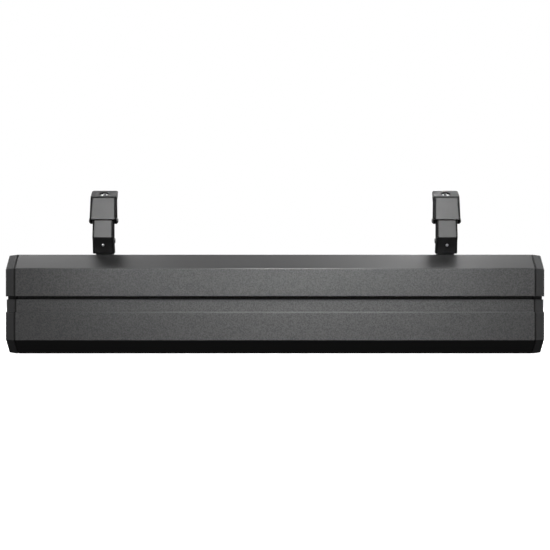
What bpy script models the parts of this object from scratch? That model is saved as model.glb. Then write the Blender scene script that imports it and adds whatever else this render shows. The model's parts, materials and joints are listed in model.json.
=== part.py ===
"""Led strip batten: an extruded housing with end caps, two folding brackets and its works.

+X runs along the batten, -Y is its plain rear side, +Y is the side the light leaves by, +Z is up.
The origin is the middle of the flat bottom. Everything is in metres.
"""
import math

import bmesh
import bpy
from mathutils import Matrix, Vector

# ---------------------------------------------------------------- driving dimensions
HALF_LENGTH = 0.300         # half the length over the end caps
HEIGHT = 0.1116
HALF_DEPTH = 0.050
MID_HEIGHT = HEIGHT / 2

GAP = 0.0003                # clearance between pieces that touch
CAP = 0.0093                # end cap thickness
SEAL = 0.0012               # end seal thickness
HOUSING_END = HALF_LENGTH - CAP - SEAL - 2 * GAP

REAR_CHAMFER_Z = 0.0158     # height of the rear chamfers
REAR_CHAMFER_Y = 0.018      # depth of the rear chamfers
FRONT_CHAMFER = 0.012
WALL = 0.003
REAR_WALL = 0.006

UPPER_BLOCK_Z = 0.0649      # underside of the upper block
BAND_TOP_Z = 0.0614         # top of the recessed band
BAND_BOTTOM_Z = 0.0476      # top of the lower block
BAND_DEPTH = 0.0047
SLOT_DEPTH = 0.011          # the undercut slot below the upper block
LEDGE_BEVEL = 0.0015

HOUSING_FRONT = 0.0377      # where the extrusion ends and the bezel begins
RAIL_Y = -0.0125            # middle of the T-slot in the top face
RAIL_MOUTH = 0.0084
RAIL_WIDTH = 0.0164
RAIL_LIP = 0.0023
RAIL_DEPTH = 0.0065

PORT_RADIUS = 0.0023        # screw ports along the extrusion
PORT_BOSS = 0.005           # half the side of a port's boss
REAR_PORT_Y = -0.039
REAR_PORT_Z = 0.031         # above and below mid height
FRONT_PORT_Y = 0.030
FRONT_PORT_Z = 0.0475

BRACKET_X = 0.1948
SHEET = 0.0018
ARM_WIDTH = 0.0235
ARM_FLARE = 0.0008          # how far the arm's lower end widens on each side
ARM_FLARE_Z = 0.1264        # where the widening begins
HEAD_WIDTH = 0.0283
HEAD_FLARE = 0.0016         # how much each side of the head tapers
ROOF_CORNER = 0.0028        # rounding of the roof's two rear corners
ARM_EDGE = 0.0012           # rounding of the arm's edges
HEAD_EDGE = 0.0014
ARM_AXIS = (-0.0210, 0.1277)     # the arm's hinge, as Y and Z
HEAD_AXIS = (-0.0220, 0.1506)    # the head's hinge, as Y and Z
ARM_FOOT = (-0.0220, 0.1127)     # lower edge of the arm's face
ARM_BEND = (-0.0310, 0.1312)     # where the arm's face bends
ARM_TOP_RADIUS = 0.00555
HEAD_BOTTOM = (-0.0303, 0.1513)  # lower edge of the head's face
HEAD_FOLD = (-0.0252, 0.1765)    # where the head's face folds into its roof
ROOF_EDGE = (-0.0248, 0.1777)    # front edge of the roof, past the fold
HEAD_TIP = (-0.0093, 0.1855)     # rear edge of the roof
HEAD_SHEET = 0.0020
HOLE_RADIUS = 0.0054        # clamp hole in the head's roof
HOLE_Y = -0.0180
CROSS_BAR_RADIUS = 0.0016   # the bar across the clamp hole
CROSS_BAR_DEPTH = 0.0027    # from the roof down to the bar's axis
PIVOT_RADIUS = 0.0020

CAP_INSIDE = 0.285          # X of the inner ends of the cutters that pass an end cap
CAP_OUTSIDE = 0.305         # and of their outer ends
SOCKET_Y = (-0.012, 0.022)  # the two sockets of an end cap
SOCKET_Z = {-1: 0.036, 1: 0.032}
SOCKET_RADIUS = 0.0117
SOCKET_END = 0.275          # X of a barrel's inner end
SOCKET_MOUTH = (0.0095, 0.288)   # radius of the mouth and X of its floor
FLANGE = (0.013, 0.0155, 0.002)  # half width, half height and thickness of a socket's flange
FUSE_Z = 0.080
FUSE_BODY = 0.0065
DISPLAY_X = 0.2968          # inner side of the display window
DISPLAY_HALF = (0.021, 0.0095)
DISPLAY_Z = 0.084
DISPLAY_LEDGE = 0.0015      # how far the window overlaps the cap's opening
BUTTON_PITCH = 0.012
BUTTON_Z = 0.062
BUTTON_HALF = (0.0040, 0.0032)
BUTTON_FLANGE = (0.0051, 0.0045)
PANEL_Y = 0.005             # middle of the display and of the row of buttons

APERTURE = (0.270, 0.033)        # half length and half height of the window
RABBET = (0.279, 0.042)          # the bezel's recess for the glass
GLASS_HALF = (0.2785, 0.0415)
GASKET_Y = (0.0435, 0.0447)
GLASS_Y = (0.0402, 0.0432)
RETAINER_Y = (0.0380, 0.0399)

LED_PITCH = 0.045
LEDS_PER_BOARD = 4
BOARDS = 3
CARRIER_Y = (0.0060, 0.0100)
LED_BOARD_Y = (0.0103, 0.0119)
LED_TOP_Y = 0.0131
LED_RADIUS = 0.0045
LENS_PLATE_Y = (0.0335, 0.0360)
LENS_RADIUS = 0.0195

SUPPLY_LOW = (-0.255, -0.0335, 0.014)
SUPPLY_HIGH = (-0.055, 0.0025, 0.084)
DRIVER_X = (0.0, 0.150)
DRIVER_Y = (-0.0120, -0.0104)
DRIVER_Z = (0.018, 0.082)
CONTROL_X = (0.2785, 0.2801)


# ---------------------------------------------------------------- scene and materials
def clear_scene():
    for obj in list(bpy.data.objects):
        bpy.data.objects.remove(obj, do_unlink=True)


def new_collection(name):
    collection = bpy.data.collections.new(name)
    bpy.context.scene.collection.children.link(collection)
    return collection


def material(name, color, roughness, metallic=0.0):
    mat = bpy.data.materials.new(name)
    mat.use_nodes = True
    shader = mat.node_tree.nodes["Principled BSDF"]
    shader.inputs["Base Color"].default_value = (*color, 1.0)
    shader.inputs["Roughness"].default_value = roughness
    shader.inputs["Metallic"].default_value = metallic
    return mat


clear_scene()
PARTS = new_collection("led_strip_batten")
CUTTERS = new_collection("cutters")

POWDER = material("powder_coat", (0.055, 0.055, 0.057), 0.55)
CAP_PAINT = material("cap_paint", (0.040, 0.040, 0.042), 0.45)
SHEET_PAINT = material("sheet_paint", (0.060, 0.060, 0.062), 0.42)
STEEL = material("black_steel", (0.070, 0.070, 0.072), 0.35, 0.9)
RUBBER = material("rubber", (0.020, 0.020, 0.020), 0.8)
GLASS = material("glass", (0.90, 0.92, 0.93), 0.05)
LENS = material("lens", (0.85, 0.87, 0.90), 0.1)
PLATE = material("aluminium_plate", (0.70, 0.70, 0.71), 0.35, 1.0)
BOARD = material("circuit_board", (0.05, 0.18, 0.08), 0.5)
WHITE_BOARD = material("led_board", (0.80, 0.80, 0.78), 0.5)
PLASTIC = material("black_plastic", (0.03, 0.03, 0.03), 0.4)
ZINC = material("zinc_case", (0.60, 0.61, 0.62), 0.4, 0.9)
CABLE = material("cable", (0.04, 0.04, 0.04), 0.5)


# ---------------------------------------------------------------- modelling helpers
AROUND_X = Matrix(((0, 0, 1), (1, 0, 0), (0, 1, 0))).to_4x4()    # outline (Y, Z), thickness along X
AROUND_Y = Matrix(((1, 0, 0), (0, 0, -1), (0, 1, 0))).to_4x4()   # outline (X, Z), thickness along Y


def register(name, mesh, mat, collection=None):
    obj = bpy.data.objects.new(name, mesh)
    mesh.materials.clear()
    mesh.materials.append(mat)
    (collection or PARTS).objects.link(obj)
    return obj


def as_cutter(obj):
    for collection in list(obj.users_collection):
        collection.objects.unlink(obj)
    CUTTERS.objects.link(obj)
    obj.hide_render = True
    obj.display_type = "WIRE"
    return obj


def boolean(obj, tool, operation):
    as_cutter(tool)
    modifier = obj.modifiers.new(operation.lower() + "_" + tool.name, "BOOLEAN")
    modifier.operation = operation
    modifier.solver = "EXACT"
    modifier.object = tool


def cut(obj, *tools):
    for tool in tools:
        boolean(obj, tool, "DIFFERENCE")


def join(obj, *tools):
    for tool in tools:
        boolean(obj, tool, "UNION")


def bevel(obj, width, segments=2, angle=50):
    modifier = obj.modifiers.new("bevel", "BEVEL")
    modifier.width = width
    modifier.segments = segments
    modifier.limit_method = "ANGLE"
    modifier.angle_limit = math.radians(angle)
    return obj


def circle(center, radius, sides):
    return [(center[0] + radius * math.cos(2 * math.pi * i / sides),
             center[1] + radius * math.sin(2 * math.pi * i / sides)) for i in range(sides)]


def arc(center, radius, start, end, steps):
    """Points of an arc, its angles in degrees."""
    angles = [math.radians(start + (end - start) * i / steps) for i in range(steps + 1)]
    return [(center[0] + radius * math.cos(a), center[1] + radius * math.sin(a)) for a in angles]


def rectangle(y0, z0, y1, z1):
    return [(y0, z0), (y1, z0), (y1, z1), (y0, z1)]


def rounded(points, radii, steps=3):
    """The outline with an arc at each corner that radii names by its index."""
    result = []
    for index, point in enumerate(points):
        radius = radii.get(index)
        if not radius:
            result.append(point)
            continue
        corner = Vector(point)
        before = (Vector(points[index - 1]) - corner).normalized()
        after = (Vector(points[(index + 1) % len(points)]) - corner).normalized()
        half = before.angle(after) / 2
        reach = radius / math.tan(half)
        center = corner + (before + after).normalized() * radius / math.sin(half)
        first = corner + before * reach - center
        last = corner + after * reach - center
        for i in range(steps + 1):
            result.append(tuple(center + first.lerp(last, i / steps).normalized() * radius))
    return result


def offset_path(points, distance):
    """The open path moved sideways, to the right of its direction."""
    lines = []
    for start, end in zip(points, points[1:]):
        along = (Vector(end) - Vector(start)).normalized()
        lines.append((Vector(start) + Vector((along.y, -along.x)) * distance, along))
    moved = [lines[0][0]]
    for (a, u), (b, v) in zip(lines, lines[1:]):
        t = (b - a).cross(v) / u.cross(v)
        moved.append(a + u * t)
    length = (Vector(points[-1]) - Vector(points[-2])).length
    moved.append(lines[-1][0] + lines[-1][1] * length)
    return [tuple(point) for point in moved]


def flat_solid(name, outlines, thickness, mat, matrix=Matrix(), at=(0, 0, 0)):
    """A flat outline, with holes, given half its thickness each way and laid in place."""
    curve = bpy.data.curves.new(name, "CURVE")
    curve.dimensions = "2D"
    curve.fill_mode = "BOTH"
    curve.extrude = thickness / 2
    for outline in outlines:
        spline = curve.splines.new("POLY")
        spline.points.add(len(outline) - 1)
        for point, (u, v) in zip(spline.points, outline):
            point.co = (u, v, 0, 1)
        spline.use_cyclic_u = True
    guide = bpy.data.objects.new(name + "_outline", curve)
    CUTTERS.objects.link(guide)
    guide.matrix_world = Matrix.Translation(at) @ matrix
    bpy.context.view_layer.update()
    mesh = bpy.data.meshes.new_from_object(guide.evaluated_get(bpy.context.evaluated_depsgraph_get()))
    mesh.transform(guide.matrix_world)
    bpy.data.objects.remove(guide, do_unlink=True)
    bm = bmesh.new()
    bm.from_mesh(mesh)
    bmesh.ops.remove_doubles(bm, verts=bm.verts, dist=0.000001)
    bmesh.ops.dissolve_limit(bm, angle_limit=0.001, verts=bm.verts, edges=bm.edges)
    bmesh.ops.recalc_face_normals(bm, faces=bm.faces)
    bm.to_mesh(mesh)
    bm.free()
    return register(name, mesh, mat)


def prism_x(name, outlines, x0, x1, mat):
    return flat_solid(name, outlines, abs(x1 - x0), mat, AROUND_X, ((x0 + x1) / 2, 0, 0))


def box(name, low, high, mat):
    mesh = bpy.data.meshes.new(name)
    bm = bmesh.new()
    bmesh.ops.create_cube(bm, size=1.0)
    low, high = Vector(low), Vector(high)
    bmesh.ops.scale(bm, vec=high - low, verts=bm.verts)
    bmesh.ops.translate(bm, vec=(low + high) / 2, verts=bm.verts)
    bm.to_mesh(mesh)
    bm.free()
    return register(name, mesh, mat)


def turned(name, profile, mat, at, direction, steps=20):
    """A profile of (radius, height), from the top of the axis down to its bottom, spun about the axis."""
    mesh = bpy.data.meshes.new(name)
    bm = bmesh.new()
    verts = [bm.verts.new((radius, 0, height)) for radius, height in profile]
    for first, second in zip(verts, verts[1:]):
        bm.edges.new((first, second))
    bm.to_mesh(mesh)
    bm.free()
    obj = register(name, mesh, mat)
    screw = obj.modifiers.new("turn", "SCREW")
    screw.steps = steps
    screw.render_steps = steps
    screw.use_merge_vertices = True
    screw.merge_threshold = 0.00001
    obj.location = at
    obj.rotation_euler = Vector(direction).to_track_quat("Z", "Y").to_euler()
    return obj


def rod(name, radius, start, end, mat, steps=20):
    start, end = Vector(start), Vector(end)
    length = (end - start).length
    return turned(name, [(0, length), (radius, length), (radius, 0), (0, 0)], mat, start, end - start, steps)


def loft_x(name, sections, mat):
    """A solid between like outlines at several X, each a pair of x and its (y, z) points."""
    mesh = bpy.data.meshes.new(name)
    bm = bmesh.new()
    rings = [[bm.verts.new((x, y, z)) for y, z in outline] for x, outline in sections]
    count = len(rings[0])
    for first, second in zip(rings, rings[1:]):
        for i in range(count):
            j = (i + 1) % count
            bm.faces.new((first[i], first[j], second[j], second[i]))
    bm.faces.new(rings[0])
    bm.faces.new(rings[-1])
    bmesh.ops.recalc_face_normals(bm, faces=bm.faces)
    bm.to_mesh(mesh)
    bm.free()
    return register(name, mesh, mat)


def tube(name, points, radius, mat):
    """A loom lead: a smooth curve through its route, as a round tube."""
    curve = bpy.data.curves.new(name, "CURVE")
    curve.dimensions = "3D"
    curve.bevel_depth = radius
    curve.bevel_resolution = 2
    curve.use_fill_caps = True
    spline = curve.splines.new("POLY")
    route = smooth(points, 6)
    spline.points.add(len(route) - 1)
    for target, point in zip(spline.points, route):
        target.co = (*point, 1)
    obj = bpy.data.objects.new(name, curve)
    PARTS.objects.link(obj)
    curve.materials.append(mat)
    return obj


def smooth(points, steps):
    """Points of a Catmull-Rom curve through the given ones."""
    knots = [Vector(p) for p in points]
    knots = [2 * knots[0] - knots[1]] + knots + [2 * knots[-1] - knots[-2]]
    route = []
    for a, b, c, d in zip(knots, knots[1:], knots[2:], knots[3:]):
        for i in range(steps):
            t = i / steps
            route.append(0.5 * (2 * b + (c - a) * t + (2 * a - 5 * b + 4 * c - d) * t ** 2
                                + (3 * b - a - 3 * c + d) * t ** 3))
    route.append(knots[-2])
    return route


def empty(name, at, parent=None):
    obj = bpy.data.objects.new(name, None)
    obj.empty_display_size = 0.01
    obj.location = at
    PARTS.objects.link(obj)
    if parent:
        attach(parent, obj)
    return obj


def attach(parent, *children):
    """Hang pieces on a joint's empty, leaving them where they are."""
    for child in children:
        child.parent = parent
        child.matrix_parent_inverse = Matrix.Translation(-parent.location)


# ---------------------------------------------------------------- housing
def rear_outline():
    """The rear side of the section, from the top flat down to the bottom flat."""
    rear = -HALF_DEPTH
    top_edge = rear + REAR_CHAMFER_Y
    points = [
        (top_edge, HEIGHT), (rear, HEIGHT - REAR_CHAMFER_Z), (rear, UPPER_BLOCK_Z),
        (rear + SLOT_DEPTH, UPPER_BLOCK_Z), (rear + SLOT_DEPTH, BAND_TOP_Z),
        (rear + BAND_DEPTH, BAND_TOP_Z), (rear + BAND_DEPTH, BAND_BOTTOM_Z),
        (rear + LEDGE_BEVEL, BAND_BOTTOM_Z), (rear, BAND_BOTTOM_Z - LEDGE_BEVEL),
        (rear, REAR_CHAMFER_Z), (top_edge, 0.0),
    ]
    return points, {0: 0.0015, 1: 0.001, 2: 0.0006, 9: 0.001, 10: 0.0015}


def boss_detour(y, z, side, wall):
    """How the inner wall runs round a screw port's boss on a level wall, towards -Y or +Y."""
    edge = z - side * PORT_BOSS
    steps = [(y + PORT_BOSS, wall), (y + PORT_BOSS, edge), (y - PORT_BOSS, edge), (y - PORT_BOSS, wall)]
    return steps if side < 0 else steps[::-1]


def ports():
    """The four screw ports, as (y, z)."""
    return [(y, MID_HEIGHT + side * z) for side in (1, -1)
            for y, z in ((REAR_PORT_Y, REAR_PORT_Z), (FRONT_PORT_Y, FRONT_PORT_Z))]


def rail_notch():
    """The T-slot in the top face, walked towards -Y."""
    mouth, half = RAIL_MOUTH / 2, RAIL_WIDTH / 2
    under_lip, floor = HEIGHT - RAIL_LIP, HEIGHT - RAIL_DEPTH
    return [(RAIL_Y + mouth, HEIGHT), (RAIL_Y + mouth, under_lip), (RAIL_Y + half, under_lip),
            (RAIL_Y + half, floor), (RAIL_Y - half, floor), (RAIL_Y - half, under_lip),
            (RAIL_Y - mouth, under_lip), (RAIL_Y - mouth, HEIGHT)]


def inner_outline():
    """The inside of the extrusion, from the front of the bottom wall round to the front of the top wall."""
    inner_rear = -HALF_DEPTH + REAR_WALL
    slot_wall = -HALF_DEPTH + SLOT_DEPTH + WALL
    slope = REAR_CHAMFER_Z / REAR_CHAMFER_Y
    chamfer_foot = -HALF_DEPTH + REAR_CHAMFER_Y + 0.0014
    chamfer_rise = (chamfer_foot - inner_rear) * slope
    rear_boss = REAR_PORT_Y + PORT_BOSS
    rail_wall = RAIL_WIDTH / 2 + WALL
    rail_floor = HEIGHT - RAIL_DEPTH - 0.0025
    low, high = WALL, HEIGHT - WALL
    path = [(HOUSING_FRONT, low)]
    path += boss_detour(FRONT_PORT_Y, MID_HEIGHT - FRONT_PORT_Z, -1, low)
    path += [(chamfer_foot, low), (inner_rear, low + chamfer_rise)]
    for side in (-1, 1):
        port = MID_HEIGHT + side * REAR_PORT_Z
        boss = [(inner_rear, port - PORT_BOSS), (rear_boss, port - PORT_BOSS),
                (rear_boss, port + PORT_BOSS), (inner_rear, port + PORT_BOSS)]
        path += boss
        if side < 0:
            path += [(inner_rear, BAND_BOTTOM_Z - WALL), (slot_wall, BAND_BOTTOM_Z),
                     (slot_wall, UPPER_BLOCK_Z + WALL), (inner_rear, UPPER_BLOCK_Z + 2 * WALL)]
    path += [(inner_rear, high - chamfer_rise), (chamfer_foot, high)]
    path += [(RAIL_Y - rail_wall, high), (RAIL_Y - rail_wall, rail_floor),
             (RAIL_Y + rail_wall, rail_floor), (RAIL_Y + rail_wall, high)]
    path += boss_detour(FRONT_PORT_Y, MID_HEIGHT + FRONT_PORT_Z, 1, high)
    path += [(HOUSING_FRONT, high)]
    return path


def housing():
    rear, radii = rear_outline()
    outline = [(HOUSING_FRONT, HEIGHT)] + rail_notch()
    shift = len(outline)
    outline += rear + [(HOUSING_FRONT, 0.0)] + inner_outline()
    outline = rounded(outline, {index + shift: radius for index, radius in radii.items()})
    holes = [circle(port, PORT_RADIUS, 12) for port in ports()]
    return prism_x("housing_extrusion", [outline] + holes, -HOUSING_END, HOUSING_END, POWDER)


# ---------------------------------------------------------------- end caps
def section_outline():
    """The whole section, rear side first, closed by the two front chamfers."""
    rear, radii = rear_outline()
    front = HALF_DEPTH
    points = rear + [(front - FRONT_CHAMFER, 0.0), (front, FRONT_CHAMFER),
                     (front, HEIGHT - FRONT_CHAMFER), (front - FRONT_CHAMFER, HEIGHT)]
    return rounded(points, radii)


def shrunk(outline, margin):
    """The outline drawn in towards the middle of the section by about the margin on each side."""
    across, up = 1 - margin / HALF_DEPTH, 1 - margin / MID_HEIGHT
    return [(y * across, MID_HEIGHT + (z - MID_HEIGHT) * up) for y, z in outline]


def end_cap(side, name):
    """A cap with a slight draft towards its outer end and a rounded rim."""
    draft, rim = 0.0011, 0.0007
    counterbore, seat = 0.0042, HALF_LENGTH - 0.0038
    outline = section_outline()
    inner_x = HALF_LENGTH - CAP
    sections = [(side * inner_x, outline), (side * (HALF_LENGTH - rim), shrunk(outline, draft)),
                (side * HALF_LENGTH, shrunk(outline, draft + rim))]
    cap = loft_x(name, sections, CAP_PAINT)
    for index, (y, z) in enumerate(ports()):
        start, end = (side * CAP_INSIDE, y, z), (side * CAP_OUTSIDE, y, z)
        through = rod(f"{name}_port_{index}", PORT_RADIUS, start, end, CAP_PAINT, 16)
        bore = rod(f"{name}_counterbore_{index}", counterbore, (side * seat, y, z), end, CAP_PAINT)
        cut(cap, through, bore)
    for index, y in enumerate(SOCKET_Y):
        start, end = (side * CAP_INSIDE, y, SOCKET_Z[side]), (side * CAP_OUTSIDE, y, SOCKET_Z[side])
        cut(cap, rod(f"{name}_socket_hole_{index}", SOCKET_RADIUS + GAP, start, end, CAP_PAINT, 32))
    return cap


def end_seal(side, name):
    """A flat rubber ring between the extrusion and its cap."""
    outline = shrunk(section_outline(), 0.0006)
    window = rectangle(-0.032, 0.013, 0.044, 0.097)
    holes = [circle(port, PORT_RADIUS, 12) for port in ports()]
    start = HOUSING_END + GAP
    return prism_x(name, [outline, window] + holes, side * start, side * (start + SEAL), RUBBER)


def screw_profile(head_radius, head_height, shank_radius, shank_length, socket_radius, socket_depth):
    """A button-head screw, its head above zero and its shank below."""
    return [(0, head_height - socket_depth), (socket_radius, head_height - socket_depth),
            (socket_radius, head_height), (head_radius * 0.72, head_height),
            (head_radius * 0.93, head_height * 0.65), (head_radius, head_height * 0.25), (head_radius, 0),
            (shank_radius, 0), (shank_radius, -shank_length), (0, -shank_length)]


def end_cap_screws(side, word):
    profile = screw_profile(0.0036, 0.0024, 0.0019, 0.015, 0.0013, 0.0012)
    seat = HALF_LENGTH - 0.0038 + GAP
    for index, (y, z) in enumerate(ports()):
        turned(f"end_cap_screw_{word}_{index + 1}", profile, STEEL, (side * seat, y, z), (side, 0, 0), 12)


# ---------------------------------------------------------------- front of the light
def front_frame(name, half, y0, y1, mat, window):
    """A flat frame in the X-Z plane."""
    outer = rectangle(-half[0], MID_HEIGHT - half[1], half[0], MID_HEIGHT + half[1])
    inner = rectangle(-window[0], MID_HEIGHT - window[1], window[0], MID_HEIGHT + window[1])
    return flat_solid(name, [outer, inner], y1 - y0, mat, AROUND_Y, (0, (y0 + y1) / 2, 0))


def front_bezel():
    front = HALF_DEPTH
    outline = rounded([(front - FRONT_CHAMFER, 0.0), (front, FRONT_CHAMFER), (front, HEIGHT - FRONT_CHAMFER),
                       (front - FRONT_CHAMFER, HEIGHT)], {1: 0.001, 2: 0.001})
    bezel = prism_x("front_bezel", [outline], -HOUSING_END, HOUSING_END, POWDER)
    window = box("bezel_window", (-APERTURE[0], 0.03, MID_HEIGHT - APERTURE[1]),
                 (APERTURE[0], 0.06, MID_HEIGHT + APERTURE[1]), POWDER)
    rabbet = box("bezel_rabbet", (-RABBET[0], 0.03, MID_HEIGHT - RABBET[1]),
                 (RABBET[0], GASKET_Y[1] + GAP, MID_HEIGHT + RABBET[1]), POWDER)
    cut(bezel, bevel(window, 0.004, 3, 80), rabbet)
    return bezel


def front_glass():
    """The glass between a rubber gasket and a retaining frame."""
    opening = (APERTURE[0] + 0.0005, APERTURE[1] + 0.0005)
    front_frame("glass_gasket", GLASS_HALF, *GASKET_Y, RUBBER, opening)
    box("front_glass", (-GLASS_HALF[0], GLASS_Y[0], MID_HEIGHT - GLASS_HALF[1]),
        (GLASS_HALF[0], GLASS_Y[1], MID_HEIGHT + GLASS_HALF[1]), GLASS)
    front_frame("glass_retainer", GLASS_HALF, *RETAINER_Y, PLATE, opening)


# ---------------------------------------------------------------- light engine
def led_places(board):
    """The X of the leds on one board."""
    middle = (board - (BOARDS - 1) / 2) * LED_PITCH * LEDS_PER_BOARD
    return [middle + (i - (LEDS_PER_BOARD - 1) / 2) * LED_PITCH for i in range(LEDS_PER_BOARD)]


def light_engine():
    """A carrier plate with the led boards on it, and the lens strips before them."""
    carrier_x, edge = 0.272, WALL + 0.0004
    box("led_carrier", (-carrier_x, CARRIER_Y[0], edge), (carrier_x, CARRIER_Y[1], HEIGHT - edge), PLATE)
    half = LED_PITCH * LEDS_PER_BOARD / 2 - 0.002
    board_half, lens_half = 0.030, 0.031
    for board in range(BOARDS):
        places = led_places(board)
        left, right = sum(places) / len(places) - half, sum(places) / len(places) + half
        base = box(f"led_board_{board + 1}", (left, LED_BOARD_Y[0], MID_HEIGHT - board_half),
                   (right, LED_BOARD_Y[1], MID_HEIGHT + board_half), WHITE_BOARD)
        plate = box(f"lens_strip_{board + 1}", (left, LENS_PLATE_Y[0], MID_HEIGHT - lens_half),
                    (right, LENS_PLATE_Y[1], MID_HEIGHT + lens_half), LENS)
        for index, x in enumerate(places):
            join(base, rod(f"led_{board}_{index}", LED_RADIUS, (x, LED_BOARD_Y[0] + 0.0007, MID_HEIGHT),
                           (x, LED_TOP_Y, MID_HEIGHT), WHITE_BOARD, 12))
            join(plate, lens(f"lens_{board}_{index}", x))


def lens(name, x):
    """A collimator: a wide rim in the plate, narrowing to its foot over the led."""
    cone = [(0, 0), (LENS_RADIUS, 0), (LENS_RADIUS, -0.0030), (LENS_RADIUS * 0.82, -0.0110),
            (LENS_RADIUS * 0.36, -0.0215), (0, -0.0215)]
    return turned(name, cone, LENS, (x, LENS_PLATE_Y[1] - 0.0010, MID_HEIGHT), (0, 1, 0), 20)


# ---------------------------------------------------------------- electronics
def power_supply():
    case = box("power_supply", SUPPLY_LOW, SUPPLY_HIGH, ZINC)
    bevel(case, 0.0015, 1)


def driver_board():
    """The board with its four standoffs, smoothing capacitors, inductors and two connectors."""
    corners = zip(DRIVER_X, DRIVER_Y, DRIVER_Z)
    board = box("driver_board", *corners, BOARD)
    inset, seat = 0.006, DRIVER_Y[0] + 0.001
    feet = [(x, z) for x in (DRIVER_X[0] + inset, DRIVER_X[1] - inset)
            for z in (DRIVER_Z[0] + inset, DRIVER_Z[1] - inset)]
    for index, (x, z) in enumerate(feet):
        join(board, rod(f"standoff_{index}", 0.003, (x, seat, z), (x, CARRIER_Y[0] - GAP, z), BOARD, 8))
    for index, x in enumerate((0.035, 0.065, 0.095)):
        join(board, rod(f"capacitor_{index}", 0.008, (x, seat, 0.062), (x, -0.030, 0.062), BOARD, 16))
        join(board, box(f"inductor_{index}", (x - 0.009, -0.024, 0.028), (x + 0.009, seat, 0.044), BOARD))
    for name, x in (("dc_connector", DRIVER_X[0] + 0.004), ("data_connector", DRIVER_X[1] - 0.016)):
        join(board, box(name, (x, -0.022, 0.044), (x + 0.010, seat, 0.060), BOARD))


def button_places():
    return [PANEL_Y + (i - 1.5) * BUTTON_PITCH for i in range(4)]


def control_board():
    """The board behind the right end cap, with its display and its four key switches."""
    board = box("control_board", (CONTROL_X[0], -0.022, 0.052), (CONTROL_X[1], 0.034, 0.096), BOARD)
    seat, half_width, half_height, key = CONTROL_X[0] + 0.001, 0.019, 0.0075, 0.003
    join(board, box("display_module", (seat, PANEL_Y - half_width, DISPLAY_Z - half_height),
                    (0.2930, PANEL_Y + half_width, DISPLAY_Z + half_height), BOARD))
    for index, y in enumerate(button_places()):
        join(board, box(f"key_switch_{index}", (seat, y - key, BUTTON_Z - key),
                        (0.2868, y + key, BUTTON_Z + key), BOARD))


def looms():
    """The leads from the mains socket, to the driver board and to the control board."""
    tube("mains_loom", [(-0.2735, -0.012, 0.036), (-0.2700, -0.012, 0.037), (-0.2620, -0.010, 0.049),
                        (-0.2570, -0.010, 0.050)], 0.0025, CABLE)
    tube("dc_loom", [(-0.0547, -0.018, 0.050), (-0.0400, -0.018, 0.050), (-0.0150, -0.017, 0.053),
                     (0.0037, -0.0165, 0.052)], 0.0022, CABLE)
    tube("data_loom", [(0.1443, -0.0165, 0.052), (0.1700, -0.017, 0.053), (0.2200, -0.014, 0.062),
                       (0.2600, -0.012, 0.068), (0.2782, -0.012, 0.068)], 0.0016, CABLE)


# ---------------------------------------------------------------- end panels
def chassis_socket(name, side, y):
    """A socket with a square flange on the cap and its barrel through it."""
    face, z = side * (HALF_LENGTH + GAP), SOCKET_Z[side]
    half_width, half_height, thickness = FLANGE
    outline = rounded(rectangle(y - half_width, z - half_height, y + half_width, z + half_height),
                      dict.fromkeys(range(4), 0.003))
    socket = prism_x(name, [outline], face, face + side * thickness, PLASTIC)
    join(socket, rod(name + "_barrel", SOCKET_RADIUS, (face + side * thickness / 2, y, z),
                     (side * SOCKET_END, y, z), PLASTIC, 32))
    radius, floor = SOCKET_MOUTH
    cut(socket, rod(name + "_mouth", radius, (side * floor, y, z), (side * CAP_OUTSIDE, y, z), PLASTIC, 32))


def fuse_holder(cap):
    """A capped fuse holder, its body through the left end cap."""
    turned("fuse_holder", [(0, 0.0020), (0.0050, 0.0020), (0.0055, 0.0016), (0.0085, 0.0012), (0.0085, 0),
                           (FUSE_BODY, 0), (FUSE_BODY, -0.028), (0, -0.028)], PLASTIC,
           (-HALF_LENGTH - GAP, PANEL_Y, FUSE_Z), (-1, 0, 0), 24)
    cut(cap, rod("fuse_hole", FUSE_BODY + GAP, (-CAP_INSIDE, PANEL_Y, FUSE_Z), (-CAP_OUTSIDE, PANEL_Y, FUSE_Z),
                 PLASTIC, 24))


def display_window(cap):
    """A pane in a recess of the right end cap, over an opening to the display."""
    half_width, half_height = DISPLAY_HALF
    pane = rectangle(PANEL_Y - half_width, DISPLAY_Z - half_height,
                     PANEL_Y + half_width, DISPLAY_Z + half_height)
    prism_x("display_window", [pane], DISPLAY_X, HALF_LENGTH - GAP, GLASS)
    for name, start, margin in (("display_recess", DISPLAY_X - GAP, GAP),
                                ("display_cutout", CAP_INSIDE, -DISPLAY_LEDGE)):
        width, height = half_width + margin, half_height + margin
        cut(cap, box(name, (start, PANEL_Y - width, DISPLAY_Z - height),
                     (CAP_OUTSIDE, PANEL_Y + width, DISPLAY_Z + height), PLASTIC))


def menu_buttons(cap):
    """Four keys that travel into the right end cap, each with a flange behind the cap."""
    words = ("mode", "up", "down", "enter")
    half_width, half_height = BUTTON_HALF
    for word, y in zip(words, button_places()):
        name = f"menu_button_{word}"
        key = rectangle(y - half_width, BUTTON_Z - half_height, y + half_width, BUTTON_Z + half_height)
        outline = rounded(key, dict.fromkeys(range(4), 0.0012))
        button = prism_x(name, [outline], 0.2890, HALF_LENGTH + 0.0014, PLASTIC)
        join(button, box(name + "_flange", (0.2886, y - BUTTON_FLANGE[0], BUTTON_Z - BUTTON_FLANGE[1]),
                         (0.2902, y + BUTTON_FLANGE[0], BUTTON_Z + BUTTON_FLANGE[1]), PLASTIC))
        attach(empty(name + "_axis", (HALF_LENGTH, y, BUTTON_Z)), button)
        cut(cap, box(name + "_hole", (CAP_INSIDE, y - half_width - GAP, BUTTON_Z - half_height - GAP),
                     (CAP_OUTSIDE, y + half_width + GAP, BUTTON_Z + half_height + GAP), PLASTIC))


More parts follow.
